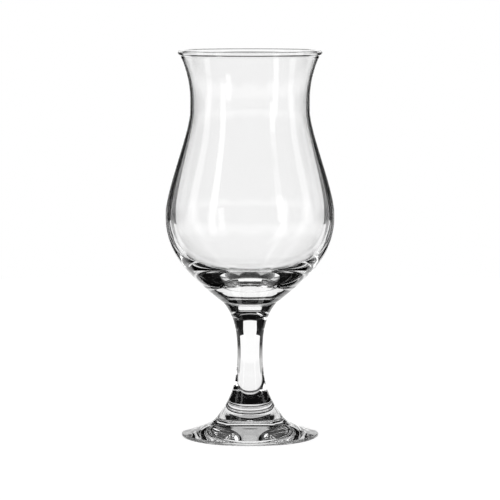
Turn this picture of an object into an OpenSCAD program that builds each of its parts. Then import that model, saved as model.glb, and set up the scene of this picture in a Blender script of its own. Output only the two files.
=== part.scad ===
// Poco grande glass: a blown bowl on a pressed stem and foot, fused end to end.
// The glass stands on the plane z = 0 and its axis of revolution is Z.

/* [Foot] */
// Diameter of the foot
foot_d = 64.4; // [56:0.2:72]
// Thickness of the foot's rounded edge
foot_edge_t = 1.5; // [1.2:0.1:2.4]
// Height of the foot at the seam with the stem
foot_h = 8.5; // [6.5:0.1:11]
// Diameter of the seam between foot and stem
foot_seam_d = 31.6; // [26:0.2:36]
// Diameter of the shallow hollow in the middle of the underside
hollow_d = 17; // [10:0.5:24]
// Rise of that hollow
hollow_rise = 0.8; // [0.4:0.1:1.5]

/* [Stem] */
// Length of the stem between its two seams
stem_l = 54.5; // [42:0.5:75]
// Diameter of the stem where it is narrowest
stem_d = 12; // [9:0.1:15]
// Height of the narrowest place above the lower seam
stem_narrow_h = 30.1; // [22:0.1:36]
// Diameter of the seam between stem and bowl
bowl_seam_d = 24.8; // [20:0.2:30]

/* [Bowl] */
// Thickness of the solid glass between the upper seam and the floor of the hollow
base_t = 10.8; // [8:0.2:16]
// Height of the belly above the upper seam
belly_h = 41.1; // [34:0.1:50]
// Outside diameter at the belly
belly_d = 79.1; // [70:0.1:88]
// Wall at the belly
belly_wall = 2.5; // [2:0.1:4]
// Height of the waist above the belly
waist_h = 48.4; // [40:0.2:60]
// Outside diameter at the waist
waist_d = 56; // [48:0.2:64]
// Wall at the waist
waist_wall = 1.1; // [0.9:0.1:2]
// Height of the top of the rim above the waist
rim_h = 28.5; // [20:0.5:40]
// Outside diameter over the rim bead
rim_d = 67.5; // [60:0.1:76]
// Thickness of the fire-polished rim bead
rim_bead_t = 2.2; // [1.8:0.1:3]
// Wall where it runs into the rim bead
rim_wall = 0.9; // [0.8:0.1:1.4]

/* [Curves] */
// Straight pieces in each curve of a profile
curve_steps = 20; // [12:1:32]
// Slope of the stem and the foot where they meet, degrees from the table
foot_seam_angle = 53; // [44:1:60]
// Slope of the foot at its edge, degrees from the table
foot_edge_angle = 20; // [14:1:26]
// Slope of the stem at the upper seam, degrees from the table
stem_bowl_angle = 50; // [42:1:64]
// Slope of the bowl at the upper seam, degrees from the table
bowl_seam_angle = 38; // [30:1:46]
// Slope of the flared mouth at the rim bead, degrees from the table
rim_angle = 65; // [58:1:80]

/* [Hidden] */
$fn = 96;

glass_tint = [0.90, 0.92, 0.93, 0.45];

foot_edge_r = foot_edge_t / 2;
foot_edge_x = foot_d / 2 - foot_edge_r;
hollow_r = hollow_d / 2;

stem_narrow_z = foot_h + stem_narrow_h;
upper_seam_z = foot_h + stem_l;
floor_z = upper_seam_z + base_t;
belly_z = upper_seam_z + belly_h;
waist_z = belly_z + waist_h;
rim_z = waist_z + rim_h;

rim_bead_r = rim_bead_t / 2;
rim_bead_x = rim_d / 2 - rim_bead_r;
rim_bead_z = rim_z - rim_bead_r;

// Points of the profile that the curves run between, as [radius, height]
foot_edge_top = [foot_edge_x, foot_edge_t];
foot_seam = [foot_seam_d / 2, foot_h];
stem_narrow = [stem_d / 2, stem_narrow_z];
bowl_seam = [bowl_seam_d / 2, upper_seam_z];
belly = [belly_d / 2, belly_z];
waist = [waist_d / 2, waist_z];
lip = [rim_bead_x + rim_wall / 2, rim_bead_z];
belly_inside = belly - [belly_wall, 0];
waist_inside = waist - [waist_wall, 0];
lip_inside = lip - [rim_wall, 0];
floor_middle = [0, floor_z];

// Pulls of the curves at their ends, as shares of the height or the width of the stretch that a curve crosses
foot_edge_pull = 0.24;
foot_seam_pull = 0.34;
stem_foot_pull = 0.34;
stem_narrow_low_pull = 0.51;
stem_narrow_high_pull = 0.18;
stem_bowl_pull = 0.44;
bowl_seam_pull = 0.53;
belly_low_pull = 0.43;
belly_high_pull = 0.24;
waist_low_pull = 0.20;
waist_high_pull = 0.18;
lip_pull = 0.52;
hollow_side_pull = 0.56;
hollow_floor_pull = 0.68;

foot_top_w = foot_edge_x - foot_seam.x;
stem_neck_h = stem_l - stem_narrow_h;
hollow_base_h = belly_z - floor_z;

up = [0, 1];
down = [0, -1];
outward = [1, 0];

// Direction that rises at an angle to the table, outward for a positive side and inward for a negative one
function rising(angle, side) = [side * cos(angle), sin(angle)];

// Cubic curve from a to b, which leaves a along a_pull and leaves b along b_pull
function curve(a, a_pull, b, b_pull) = [
    for (i = [0 : curve_steps])
        let (t = i / curve_steps, s = 1 - t)
            s * s * s * a
            + 3 * s * s * t * (a + a_pull)
            + 3 * s * t * t * (b + b_pull)
            + t * t * t * b
];

// The hollow under the foot is a parabola, so its pulls are a third of its width
foot_hollow = curve(
    [0, hollow_rise], hollow_r / 3 * outward,
    [hollow_r, 0], [-hollow_r, 2 * hollow_rise] / 3
);
foot_top = curve(
    foot_edge_top, foot_edge_pull * foot_top_w * rising(foot_edge_angle, -1),
    foot_seam, -foot_seam_pull * foot_top_w * rising(foot_seam_angle, -1)
);
stem_flare = curve(
    foot_seam, stem_foot_pull * stem_narrow_h * rising(foot_seam_angle, -1),
    stem_narrow, stem_narrow_low_pull * stem_narrow_h * down
);
stem_neck = curve(
    stem_narrow, stem_narrow_high_pull * stem_neck_h * up,
    bowl_seam, -stem_bowl_pull * stem_neck_h * rising(stem_bowl_angle, 1)
);
bowl_base = curve(
    bowl_seam, bowl_seam_pull * belly_h * rising(bowl_seam_angle, 1),
    belly, belly_low_pull * belly_h * down
);
bowl_shoulder = curve(belly, belly_high_pull * waist_h * up, waist, waist_low_pull * waist_h * down);
bowl_mouth = curve(waist, waist_high_pull * rim_h * up, lip, -lip_pull * rim_h * rising(rim_angle, 1));
hollow_mouth = curve(
    lip_inside, -lip_pull * rim_h * rising(rim_angle, 1),
    waist_inside, waist_high_pull * rim_h * up
);
hollow_shoulder = curve(
    waist_inside, waist_low_pull * waist_h * down,
    belly_inside, belly_high_pull * waist_h * up
);
hollow_base = curve(
    belly_inside, hollow_side_pull * hollow_base_h * down,
    floor_middle, hollow_floor_pull * belly_inside.x * outward
);

// Pressed foot: a low cone with a round edge and a flat underside, which has a shallow hollow in its middle
module foot() {
    color(glass_tint)
        rotate_extrude() {
            polygon(concat(foot_hollow, [[foot_edge_x, 0]], foot_top, [[0, foot_h]]));
            translate([foot_edge_x, foot_edge_r])
                circle(r = foot_edge_r);
        }
}

// Pressed solid stem, drawn in at the middle and flared to both seams
module stem() {
    color(glass_tint)
        rotate_extrude()
            polygon(concat([[0, foot_h]], stem_flare, stem_neck, [[0, upper_seam_z]]));
}

// Blown bowl: one wall from the thick base to the round bead at the rim
module bowl() {
    color(glass_tint)
        rotate_extrude() {
            polygon(concat(
                [[0, upper_seam_z]], bowl_base, bowl_shoulder, bowl_mouth,
                hollow_mouth, hollow_shoulder, hollow_base
            ));
            translate([rim_bead_x, rim_bead_z])
                circle(r = rim_bead_r);
        }
}

foot();
stem();
bowl();
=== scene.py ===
import bpy
import numpy as np
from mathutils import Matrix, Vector


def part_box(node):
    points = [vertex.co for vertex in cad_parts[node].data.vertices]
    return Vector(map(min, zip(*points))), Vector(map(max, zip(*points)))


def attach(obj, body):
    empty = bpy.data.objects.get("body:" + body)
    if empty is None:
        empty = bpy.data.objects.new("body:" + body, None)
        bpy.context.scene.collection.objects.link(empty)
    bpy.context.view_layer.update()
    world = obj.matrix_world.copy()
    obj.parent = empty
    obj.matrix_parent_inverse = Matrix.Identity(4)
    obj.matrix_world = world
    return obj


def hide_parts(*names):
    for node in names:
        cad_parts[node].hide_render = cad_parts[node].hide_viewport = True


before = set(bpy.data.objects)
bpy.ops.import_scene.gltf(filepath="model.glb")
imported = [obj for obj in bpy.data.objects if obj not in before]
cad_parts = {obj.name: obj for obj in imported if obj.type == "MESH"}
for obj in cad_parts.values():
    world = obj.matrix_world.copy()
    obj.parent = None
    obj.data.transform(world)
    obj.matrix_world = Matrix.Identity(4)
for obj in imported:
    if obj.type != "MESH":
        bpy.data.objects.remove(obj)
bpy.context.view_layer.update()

# Foot: a round of clear glass, pressed in a mould as a low cone with a thin round edge.
# Its underside is flat with a shallow hollow in the middle, and the hot stem is fused to
# the middle of its top.

MM = 0.001
OUT = np.array([1.0, 0.0])
UP = np.array([0.0, 1.0])
CURVE_STEPS = 40
AROUND = 256
SAME_POINT = 1e-7

_, foot_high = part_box("foot")
foot_radius = foot_high.x
foot_height = foot_high.z
foot_edge_thickness = 1.5 * MM
foot_edge_steps = 24
foot_hollow_radius = 8.5 * MM
foot_hollow_rise = 0.8 * MM
foot_seam_radius = 15.8 * MM
foot_edge_slope = 20
foot_seam_slope = 53

# The pulls of a curve at its ends are shares of the width or height that the curve crosses.
foot_edge_pull = 0.24
foot_seam_pull = 0.34


def rising(slope, side):
    """Unit direction in the profile plane: (side cos slope, sin slope), with slope in degrees.

    It leads outward for side 1 and inward for side -1.
    """
    angle = np.radians(slope)
    return np.array([side * np.cos(angle), np.sin(angle)])


def curve(start, start_pull, end, end_pull):
    """Cubic curve in the profile plane: it leaves start along start_pull and end along end_pull.

    With s = 1 - t, its points are s^3 start + 3 s^2 t (start + start_pull)
    + 3 s t^2 (end + end_pull) + t^3 end.
    """
    t = np.linspace(0.0, 1.0, CURVE_STEPS + 1)[:, None]
    s = 1.0 - t
    start, end = np.asarray(start, float), np.asarray(end, float)
    start_half = s**3 * start + 3 * s**2 * t * (start + start_pull)
    return start_half + 3 * s * t**2 * (end + end_pull) + t**3 * end


def round_edge(centre, radius, first_angle, last_angle, steps):
    """Arc in the profile plane: centre + radius (cos a, sin a), from first_angle to last_angle.

    The angles are in degrees above the outward direction.
    """
    angle = np.radians(np.linspace(first_angle, last_angle, steps + 1))
    return np.asarray(centre) + radius * np.stack([np.cos(angle), np.sin(angle)], axis=1)


def join(*stretches):
    """One profile from several stretches, with the points where they meet kept once."""
    points = np.concatenate([np.atleast_2d(stretch) for stretch in stretches])
    step = np.linalg.norm(np.diff(points, axis=0), axis=1)
    return points[np.concatenate([[True], step > SAME_POINT])]


def turned_piece(name, profile, seam_rows):
    """Closed surface of revolution: profile point (r, z) at angle a is (r cos a, r sin a, z).

    The profile starts and ends on the axis, where each pole is one vertex, and runs
    anticlockwise, so faces point outwards. The stretches of the profile that seam_rows counts,
    from its start or with a minus from its end, are fused seams: they are shaded flat and take
    the second material.
    """
    angle = np.linspace(0.0, 2.0 * np.pi, AROUND, endpoint=False)
    radius, height = profile[1:-1, 0:1], profile[1:-1, 1:2]
    count = len(radius)
    level = np.broadcast_to(height, (count, AROUND))
    rings = np.stack([radius * np.cos(angle), radius * np.sin(angle), level], axis=2)
    first_pole = [[0.0, 0.0, profile[0, 1]]]
    last_pole = [[0.0, 0.0, profile[-1, 1]]]
    vertices = np.concatenate([rings.reshape(-1, 3), first_pole, last_pole])

    here = np.arange(AROUND)
    after = (here + 1) % AROUND
    row = np.arange(count - 1)[:, None] * AROUND
    next_row = row + AROUND
    quads = np.stack([row + here, row + after, next_row + after, next_row + here], axis=2)
    first_fan = np.stack([np.full(AROUND, count * AROUND), after, here], axis=1)
    last_row = (count - 1) * AROUND
    last_pole_index = np.full(AROUND, count * AROUND + 1)
    last_fan = np.stack([last_pole_index, last_row + here, last_row + after], axis=1)
    faces = quads.reshape(-1, 4).tolist() + first_fan.tolist() + last_fan.tolist()

    mesh = bpy.data.meshes.new(name)
    mesh.from_pydata(vertices.tolist(), [], faces)
    quad_rows = np.repeat(np.arange(1, count), AROUND)
    face_rows = np.concatenate([quad_rows, np.zeros(AROUND), np.full(AROUND, count)])
    seam = np.isin(face_rows, [index % (count + 1) for index in seam_rows])
    mesh.polygons.foreach_set("use_smooth", ~seam)
    mesh.polygons.foreach_set("material_index", seam.astype(np.int32))
    mesh.update()
    piece = bpy.data.objects.new(name, mesh)
    bpy.context.scene.collection.objects.link(piece)
    return piece


def effect_group(name, inputs, output):
    """Node group with the given inputs, as names with their socket types, and one value output.

    It is returned with its input node and its output node.
    """
    group = bpy.data.node_groups.new(name, "ShaderNodeTree")
    for input_name, socket_type in inputs.items():
        group.interface.new_socket(input_name, in_out="INPUT", socket_type=socket_type)
    group.interface.new_socket(output, in_out="OUTPUT", socket_type="NodeSocketFloat")
    return group, group.nodes.new("NodeGroupInput"), group.nodes.new("NodeGroupOutput")


# Ripples that forming leaves in the glass: smooth noise, with its own stretch along each axis.
forming_ripple, given, result = effect_group(
    "forming_ripple",
    {"Place": "NodeSocketVector", "Stretch": "NodeSocketVector", "Scale": "NodeSocketFloat"},
    "Height",
)
stretch = forming_ripple.nodes.new("ShaderNodeMapping")
waves = forming_ripple.nodes.new("ShaderNodeTexNoise")
waves.inputs["Detail"].default_value = 1.0
forming_ripple.links.new(given.outputs["Place"], stretch.inputs["Vector"])
forming_ripple.links.new(given.outputs["Stretch"], stretch.inputs["Scale"])
forming_ripple.links.new(stretch.outputs["Vector"], waves.inputs["Vector"])
forming_ripple.links.new(given.outputs["Scale"], waves.inputs["Scale"])
forming_ripple.links.new(waves.outputs["Fac"], result.inputs["Height"])

# Film that handling leaves on the glass: it is rougher in patches, where a noise is above half.
handling_film, given, result = effect_group(
    "handling_film",
    {"Place": "NodeSocketVector", "Scale": "NodeSocketFloat", "Roughest": "NodeSocketFloat"},
    "Roughness",
)
smear = handling_film.nodes.new("ShaderNodeTexNoise")
smear.inputs["Detail"].default_value = 4.0
patches = handling_film.nodes.new("ShaderNodeMapRange")
patches.inputs["From Min"].default_value = 0.5
patches.inputs["From Max"].default_value = 0.8
patches.inputs["To Min"].default_value = 0.0
handling_film.links.new(given.outputs["Place"], smear.inputs["Vector"])
handling_film.links.new(given.outputs["Scale"], smear.inputs["Scale"])
handling_film.links.new(smear.outputs["Fac"], patches.inputs["Value"])
handling_film.links.new(given.outputs["Roughest"], patches.inputs["To Max"])
handling_film.links.new(patches.outputs["Result"], result.inputs["Roughness"])

glass_white = (1.0, 1.0, 1.0, 1.0)
glass_index = 1.52
film_scale = 35.0
film_roughness = 0.02


def clear_glass(name, ripple_scale, ripple_stretch, ripple_depth):
    """Clear soda-lime glass: full transmission, with faint ripples and a faint film of handling."""
    material = bpy.data.materials.new(name)
    material.use_nodes = True
    tree = material.node_tree
    shader = tree.nodes["Principled BSDF"]
    shader.inputs["Base Color"].default_value = glass_white
    shader.inputs["Metallic"].default_value = 0.0
    shader.inputs["Transmission Weight"].default_value = 1.0
    shader.inputs["IOR"].default_value = glass_index

    place = tree.nodes.new("ShaderNodeTexCoord")
    ripple = tree.nodes.new("ShaderNodeGroup")
    ripple.node_tree = forming_ripple
    ripple.inputs["Stretch"].default_value = ripple_stretch
    ripple.inputs["Scale"].default_value = ripple_scale
    bump = tree.nodes.new("ShaderNodeBump")
    bump.inputs["Strength"].default_value = 1.0
    bump.inputs["Distance"].default_value = ripple_depth
    tree.links.new(place.outputs["Object"], ripple.inputs["Place"])
    tree.links.new(ripple.outputs["Height"], bump.inputs["Height"])
    tree.links.new(bump.outputs["Normal"], shader.inputs["Normal"])

    film = tree.nodes.new("ShaderNodeGroup")
    film.node_tree = handling_film
    film.inputs["Scale"].default_value = film_scale
    film.inputs["Roughest"].default_value = film_roughness
    tree.links.new(place.outputs["Object"], film.inputs["Place"])
    tree.links.new(film.outputs["Roughness"], shader.inputs["Roughness"])
    return material


# Where two pieces of the same glass have melted into one, light passes straight on.
seam_glass = bpy.data.materials.new("fused_seam")
seam_glass.use_nodes = True
seam_shader = seam_glass.node_tree.nodes["Principled BSDF"]
seam_shader.inputs["Base Color"].default_value = glass_white
seam_shader.inputs["Alpha"].default_value = 0.0

foot_glass = clear_glass(
    "foot_glass", ripple_scale=60.0, ripple_stretch=(1.0, 1.0, 1.0), ripple_depth=0.008 * MM
)

edge_radius = foot_edge_thickness / 2
edge_centre = np.array([foot_radius - edge_radius, edge_radius])
foot_edge = round_edge(edge_centre, edge_radius, -90, 90, foot_edge_steps)
foot_seam = np.array([foot_seam_radius, foot_height])
edge_top = edge_centre + edge_radius * UP
foot_width = edge_top[0] - foot_seam[0]
foot_underside = curve(
    foot_hollow_rise * UP, foot_hollow_radius / 3 * OUT,
    foot_hollow_radius * OUT, np.array([-foot_hollow_radius, 2 * foot_hollow_rise]) / 3,
)
foot_top = curve(
    edge_top, foot_edge_pull * foot_width * rising(foot_edge_slope, -1),
    foot_seam, -foot_seam_pull * foot_width * rising(foot_seam_slope, -1),
)
foot_profile = join(foot_underside, foot_edge, foot_top, foot_height * UP)
foot = turned_piece("pressed_foot", foot_profile, seam_rows=[-1])
foot.data.materials.append(foot_glass)
foot.data.materials.append(seam_glass)
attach(foot, "root")
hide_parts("foot")

# Stem: a solid rod of clear glass, pressed with a drawn-in middle and a flare at each end.
# Its ends are melted onto the foot and onto the base of the bowl.

_, stem_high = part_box("stem")
stem_top = stem_high.z
stem_radius = 6.0 * MM
stem_narrow_height = 30.1 * MM
bowl_seam_radius = 12.4 * MM
stem_bowl_slope = 50
stem_foot_pull = 0.34
stem_narrow_low_pull = 0.51
stem_narrow_high_pull = 0.18
stem_bowl_pull = 0.44

stem_glass = clear_glass(
    "stem_glass", ripple_scale=60.0, ripple_stretch=(1.0, 1.0, 0.4), ripple_depth=0.02 * MM
)

stem_narrow = np.array([stem_radius, foot_height + stem_narrow_height])
bowl_seam = np.array([bowl_seam_radius, stem_top])
stem_neck_height = stem_top - stem_narrow[1]
stem_flare = curve(
    foot_seam, stem_foot_pull * stem_narrow_height * rising(foot_seam_slope, -1),
    stem_narrow, -stem_narrow_low_pull * stem_narrow_height * UP,
)
stem_neck = curve(
    stem_narrow, stem_narrow_high_pull * stem_neck_height * UP,
    bowl_seam, -stem_bowl_pull * stem_neck_height * rising(stem_bowl_slope, 1),
)
stem_profile = join(foot_height * UP, stem_flare, stem_neck, stem_top * UP)
stem = turned_piece("pressed_stem", stem_profile, seam_rows=[0, -1])
stem.data.materials.append(stem_glass)
stem.data.materials.append(seam_glass)
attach(stem, "root")
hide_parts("stem")

# Bowl: clear glass blown in a mould, with a thick solid base, a full belly and a drawn-in waist.
# The mouth flares, and its cut edge is melted in the flame to a round bead.

_, bowl_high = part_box("bowl")
rim_top = bowl_high.z
belly_radius = bowl_high.x
belly_height = 41.1 * MM
belly_wall = 2.5 * MM
waist_height = 48.4 * MM
waist_radius = 28.0 * MM
waist_wall = 1.1 * MM
rim_radius = 33.75 * MM
rim_wall = 0.9 * MM
rim_bead_radius = 1.1 * MM
rim_bead_steps = 36
bead_clearance = 1.02
base_thickness = 10.8 * MM
bowl_seam_slope = 38
rim_slope = 65
bowl_seam_pull = 0.53
belly_low_pull = 0.43
belly_high_pull = 0.24
waist_low_pull = 0.20
waist_high_pull = 0.18
lip_pull = 0.52
hollow_side_pull = 0.56
hollow_floor_pull = 0.68

bowl_glass = clear_glass(
    "bowl_glass", ripple_scale=40.0, ripple_stretch=(1.0, 1.0, 0.3), ripple_depth=0.01 * MM
)

belly = np.array([belly_radius, stem_top + belly_height])
waist = np.array([waist_radius, belly[1] + waist_height])
rim_height = rim_top - waist[1]
bead_centre = np.array([rim_radius - rim_bead_radius, rim_top - rim_bead_radius])
lip = bead_centre + rim_wall / 2 * OUT
lip_inside = bead_centre - rim_wall / 2 * OUT
waist_inside = waist - waist_wall * OUT
belly_inside = belly - belly_wall * OUT
floor_middle = np.array([0.0, stem_top + base_thickness])
hollow_base_height = belly_inside[1] - floor_middle[1]


def outside_bead(points):
    """The points of a stretch that lie outside the bead: farther from its centre than its radius.

    A small clearance keeps them from crowding its round face.
    """
    distance = np.linalg.norm(points - bead_centre, axis=1)
    return points[distance > rim_bead_radius * bead_clearance]


def bead_angle(point):
    """Angle of a point about the centre of the bead, in degrees above the outward direction."""
    return np.degrees(np.arctan2(point[1] - bead_centre[1], point[0] - bead_centre[0]))


# The outside and the inside of the wall leave the belly, the waist and the lip alike.
belly_up = belly_high_pull * waist_height * UP
waist_down = -waist_low_pull * waist_height * UP
waist_up = waist_high_pull * rim_height * UP
lip_down = -lip_pull * rim_height * rising(rim_slope, 1)
bowl_base = curve(
    bowl_seam, bowl_seam_pull * belly_height * rising(bowl_seam_slope, 1),
    belly, -belly_low_pull * belly_height * UP,
)
bowl_shoulder = curve(belly, belly_up, waist, waist_down)
bowl_mouth = outside_bead(curve(waist, waist_up, lip, lip_down))
hollow_mouth = outside_bead(curve(lip_inside, lip_down, waist_inside, waist_up))
hollow_shoulder = curve(waist_inside, waist_down, belly_inside, belly_up)
hollow_base = curve(
    belly_inside, -hollow_side_pull * hollow_base_height * UP,
    floor_middle, hollow_floor_pull * belly_inside[0] * OUT,
)
rim_bead = round_edge(
    bead_centre, rim_bead_radius,
    bead_angle(bowl_mouth[-1]), bead_angle(hollow_mouth[0]) + 360, rim_bead_steps,
)
bowl_profile = join(
    stem_top * UP, bowl_base, bowl_shoulder, bowl_mouth,
    rim_bead, hollow_mouth, hollow_shoulder, hollow_base,
)
bowl = turned_piece("blown_bowl", bowl_profile, seam_rows=[0])
bowl.data.materials.append(bowl_glass)
bowl.data.materials.append(seam_glass)
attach(bowl, "root")
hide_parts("bowl")

# Table: a plain white round that the glass stands on. A lamp above it, which only the table
# shows, lays the faint shadow of the glass on it.

table_radius = 0.7
table_corners = 96
table_grey = (0.3, 0.3, 0.3, 1.0)
table_glow = 0.95
lamp_width = 0.5
lamp_watts = 4.0
lamp_height = 1.2

table_angle = np.linspace(0.0, 2.0 * np.pi, table_corners, endpoint=False)
table_level = np.zeros(table_corners)
table_ring = np.stack([np.cos(table_angle), np.sin(table_angle), table_level], axis=1)
table_mesh = bpy.data.meshes.new("table")
table_mesh.from_pydata((table_ring * table_radius).tolist(), [], [list(range(table_corners))])
table = bpy.data.objects.new("table", table_mesh)
bpy.context.scene.collection.objects.link(table)
table.visible_transmission = False
table.visible_glossy = False

table_white = bpy.data.materials.new("table_white")
table_white.use_nodes = True
tree = table_white.node_tree
tree.nodes.remove(tree.nodes["Principled BSDF"])
matt = tree.nodes.new("ShaderNodeBsdfDiffuse")
matt.inputs["Color"].default_value = table_grey
glow = tree.nodes.new("ShaderNodeEmission")
glow.inputs["Strength"].default_value = table_glow
both = tree.nodes.new("ShaderNodeAddShader")
tree.links.new(matt.outputs["BSDF"], both.inputs[0])
tree.links.new(glow.outputs["Emission"], both.inputs[1])
tree.links.new(both.outputs["Shader"], tree.nodes["Material Output"].inputs["Surface"])
table_mesh.materials.append(table_white)

shadow_lamp_data = bpy.data.lights.new("shadow_lamp", "AREA")
shadow_lamp_data.size = lamp_width
shadow_lamp_data.energy = lamp_watts
shadow_lamp = bpy.data.objects.new("shadow_lamp", shadow_lamp_data)
shadow_lamp.location = (0.0, 0.0, lamp_height)
shadow_lamp.visible_transmission = False
shadow_lamp.visible_glossy = False
bpy.context.scene.collection.objects.link(shadow_lamp)

# Camera: as far away as the ellipses of the rim and the foot show, and a little above the rim.
# It looks down at the glass near the middle of its height.

camera_distance = 1.320
camera_height = 0.218
aim_height = 0.08767
focal_pixels = 2833.8
image_pixels = 500
sensor_width = 36.0

camera_data = bpy.data.cameras.new("camera")
camera_data.sensor_width = sensor_width
camera_data.lens = focal_pixels / image_pixels * sensor_width
camera = bpy.data.objects.new("camera", camera_data)
bpy.context.scene.collection.objects.link(camera)
camera.location = (0.0, -camera_distance, camera_height)
line_of_sight = Vector((0.0, 0.0, aim_height)) - camera.location
camera.rotation_euler = line_of_sight.to_track_quat("-Z", "Y").to_euler()
bpy.context.scene.camera = camera

# Boards: a white board flush with the table behind the foot, tall black flags behind the bowl,
# cut to its outline, and low black flags nearer to its base. They draw the dark edges of the
# glass. Only the glass shows them, by what it reflects and refracts. Their sizes are in mm.

board_glow = 1.0
board_level = -0.2
board_near, board_near_half_width = 33, 25
board_far, board_far_half_width = 180, 135

flag_dark = (0.01, 0.01, 0.01, 1.0)
flag_roughness = 0.9
flag_behind = 300
flag_gap = 55
flag_side = 265
flag_bottom, flag_top = 57, 216
flag_points = 30
flag_base_inset = 4
flag_base_top = 100
low_flag_near_x, low_flag_near_y = 50, 42
low_flag_far_x, low_flag_far_y = 100, 91
low_flag_bottom, low_flag_top = 60, 102
mirror = [-1, 1, 1]


def board(name, corners, material):
    """Flat board, one face through the given corners in mm."""
    mesh = bpy.data.meshes.new(name)
    mesh.from_pydata((np.array(corners, float) * MM).tolist(), [], [list(range(len(corners)))])
    mesh.materials.append(material)
    piece = bpy.data.objects.new(name, mesh)
    bpy.context.scene.collection.objects.link(piece)
    piece.visible_camera = False
    piece.visible_diffuse = False
    piece.visible_shadow = False


board_white = bpy.data.materials.new("board_white")
board_white.use_nodes = True
tree = board_white.node_tree
tree.nodes.remove(tree.nodes["Principled BSDF"])
glow = tree.nodes.new("ShaderNodeEmission")
glow.inputs["Strength"].default_value = board_glow
tree.links.new(glow.outputs["Emission"], tree.nodes["Material Output"].inputs["Surface"])

board_corners = [
    (-board_near_half_width, board_near, board_level),
    (board_near_half_width, board_near, board_level),
    (board_far_half_width, board_far, board_level),
    (-board_far_half_width, board_far, board_level),
]
board("table_board", board_corners, board_white)

flag_black = bpy.data.materials.new("flag_black")
flag_black.use_nodes = True
flag_shader = flag_black.node_tree.nodes["Principled BSDF"]
flag_shader.inputs["Base Color"].default_value = flag_dark
flag_shader.inputs["Roughness"].default_value = flag_roughness

# A tall flag's inner edge keeps a gap to the bowl's outline, carried back along the camera's
# lines of sight. Beside the base it draws in by only a little from the belly.
spread = 1 + flag_behind * MM / camera_distance
flag_heights = np.linspace(flag_bottom, flag_top, flag_points)
seen_heights = (flag_heights + (spread - 1) * camera_height / MM) / spread
bowl_outside = np.concatenate([bowl_base, bowl_shoulder, bowl_mouth]) / MM
seen_radii = np.interp(seen_heights, bowl_outside[:, 1], bowl_outside[:, 0])
flag_inner = seen_radii * spread + flag_gap
base_inner = (belly_radius / MM - flag_base_inset) * spread + flag_gap
beside_base = seen_heights < flag_base_top
flag_inner = np.where(beside_base, np.maximum(flag_inner, base_inner), flag_inner)
flag_edge = np.stack([flag_inner, np.full(flag_points, flag_behind), flag_heights], axis=1)
flag_outer = [[flag_side, flag_behind, flag_top], [flag_side, flag_behind, flag_bottom]]
flag_corners = np.concatenate([flag_edge, flag_outer])
low_flag_corners = np.array([
    (low_flag_near_x, low_flag_near_y, low_flag_bottom),
    (low_flag_far_x, low_flag_far_y, low_flag_bottom),
    (low_flag_far_x, low_flag_far_y, low_flag_top),
    (low_flag_near_x, low_flag_near_y, low_flag_top),
])
board("right_flag", flag_corners, flag_black)
board("left_flag", flag_corners * mirror, flag_black)
board("right_low_flag", low_flag_corners, flag_black)
board("left_low_flag", low_flag_corners * mirror, flag_black)

# Studio: a wide white sheet behind the glass, a dimmer patch of ceiling, and narrow lights for
# the long highlights. Side panels, low soft lights all round and a panel below give the glass a
# light ground from other sides. The rest of the room is dark, and the camera sees plain white.

camera_white = 1.0
dark_room = 0.004

world = bpy.data.worlds.new("studio")
bpy.context.scene.world = world
world.use_nodes = True
studio = world.node_tree
background = studio.nodes["Background"]


def math_node(operation, *values):
    """Output of a Math node in the studio, whose inputs are sockets or numbers."""
    node = studio.nodes.new("ShaderNodeMath")
    node.operation = operation
    for socket, value in zip(node.inputs, values):
        if isinstance(value, (int, float)):
            socket.default_value = value
        else:
            studio.links.new(value, socket)
    return node.outputs["Value"]


def band(angle, low, high, softness):
    """Mask of a band of angles: 1 between low and high, and 0 beyond them.

    It passes from 1 to 0 in a smooth step as wide as softness, centred on low and on high. These
    three are in degrees, and angle is a socket in radians.
    """
    middle = np.radians((low + high) / 2).item()
    away = math_node("ABSOLUTE", math_node("SUBTRACT", angle, middle))
    fade = studio.nodes.new("ShaderNodeMapRange")
    fade.interpolation_type = "SMOOTHSTEP"
    fade.inputs["From Min"].default_value = np.radians((high - low - softness) / 2).item()
    fade.inputs["From Max"].default_value = np.radians((high - low + softness) / 2).item()
    fade.inputs["To Min"].default_value = 1.0
    fade.inputs["To Max"].default_value = 0.0
    studio.links.new(away, fade.inputs["Value"])
    return fade.outputs["Result"]


def panel(bearings, elevations, strength, softness):
    """Light of a panel: strength times the mask of its bearings times that of its elevations.

    Bearings are in degrees to the right of straight behind the glass, and elevations in degrees
    above the level of the table.
    """
    across = band(bearing, *bearings, softness)
    upright = band(elevation, *elevations, softness)
    return math_node("MULTIPLY", math_node("MULTIPLY", across, upright), strength)


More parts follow.
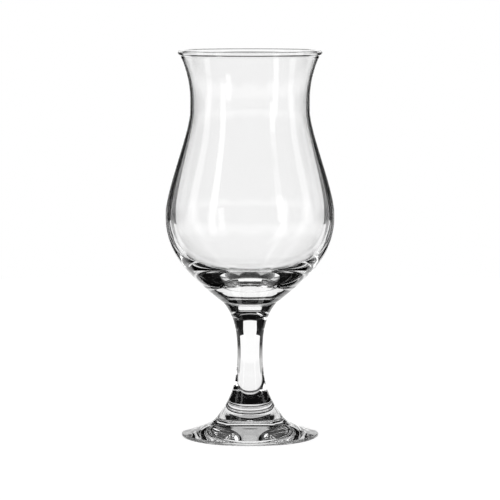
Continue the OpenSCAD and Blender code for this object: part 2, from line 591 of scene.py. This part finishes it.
direction = studio.nodes.new("ShaderNodeTexCoord")
split = studio.nodes.new("ShaderNodeSeparateXYZ")
studio.links.new(direction.outputs["Generated"], split.inputs["Vector"])
bearing = math_node("ARCTAN2", split.outputs["X"], split.outputs["Y"])
elevation = math_node("ARCSINE", split.outputs["Z"])

back_sheet = panel((-37, 37), (-32, 17), strength=1.05, softness=2.0)
ceiling = panel((-30, 30), (35, 58), strength=0.5, softness=3.0)
left_light = panel((-132, -121), (-22, 66), strength=1.6, softness=2.0)
right_light = panel((131, 141), (-5, 22), strength=1.6, softness=2.0)
left_side = panel((-97, -83), (-10, 45), strength=0.95, softness=4.0)
right_side = panel((83, 97), (-10, 45), strength=0.95, softness=4.0)
lights = [back_sheet, ceiling, left_light, right_light, left_side, right_side]

# Bearings on the right, elevations and strength of each low soft light, which the left mirrors:
# beside the sheet, towards the front, on the camera's side, and the ring that runs past them.
low_softness = 9.0
low_lights = [
    ((36, 54), (-31, -18), 1.0),
    ((122, 148), (-24, -10), 1.0),
    ((164, 196), (-24, -9), 0.65),
    ((40, 180), (-20, -8), 0.7),
]
for (near, far), elevations, strength in low_lights:
    lights.append(panel((near, far), elevations, strength, low_softness))
    lights.append(panel((-far, -near), elevations, strength, low_softness))
lights.append(panel((-60, 60), (-90, -62), strength=1.0, softness=4.0))

brightest = dark_room
for light in lights:
    brightest = math_node("MAXIMUM", light, brightest)

path = studio.nodes.new("ShaderNodeLightPath")
seen = studio.nodes.new("ShaderNodeMix")
seen.data_type = "FLOAT"
seen.inputs["B"].default_value = camera_white
studio.links.new(path.outputs["Is Camera Ray"], seen.inputs["Factor"])
studio.links.new(brightest, seen.inputs["A"])
studio.links.new(seen.outputs["Result"], background.inputs["Strength"])
background.inputs["Color"].default_value = (1.0, 1.0, 1.0, 1.0)

# View: colours as they are written, and enough bounces for light to pass through every wall
# of the glass.

bpy.context.scene.view_settings.view_transform = "Standard"
bpy.context.scene.cycles.max_bounces = 32
bpy.context.scene.cycles.transmission_bounces = 32
bpy.context.scene.cycles.glossy_bounces = 16
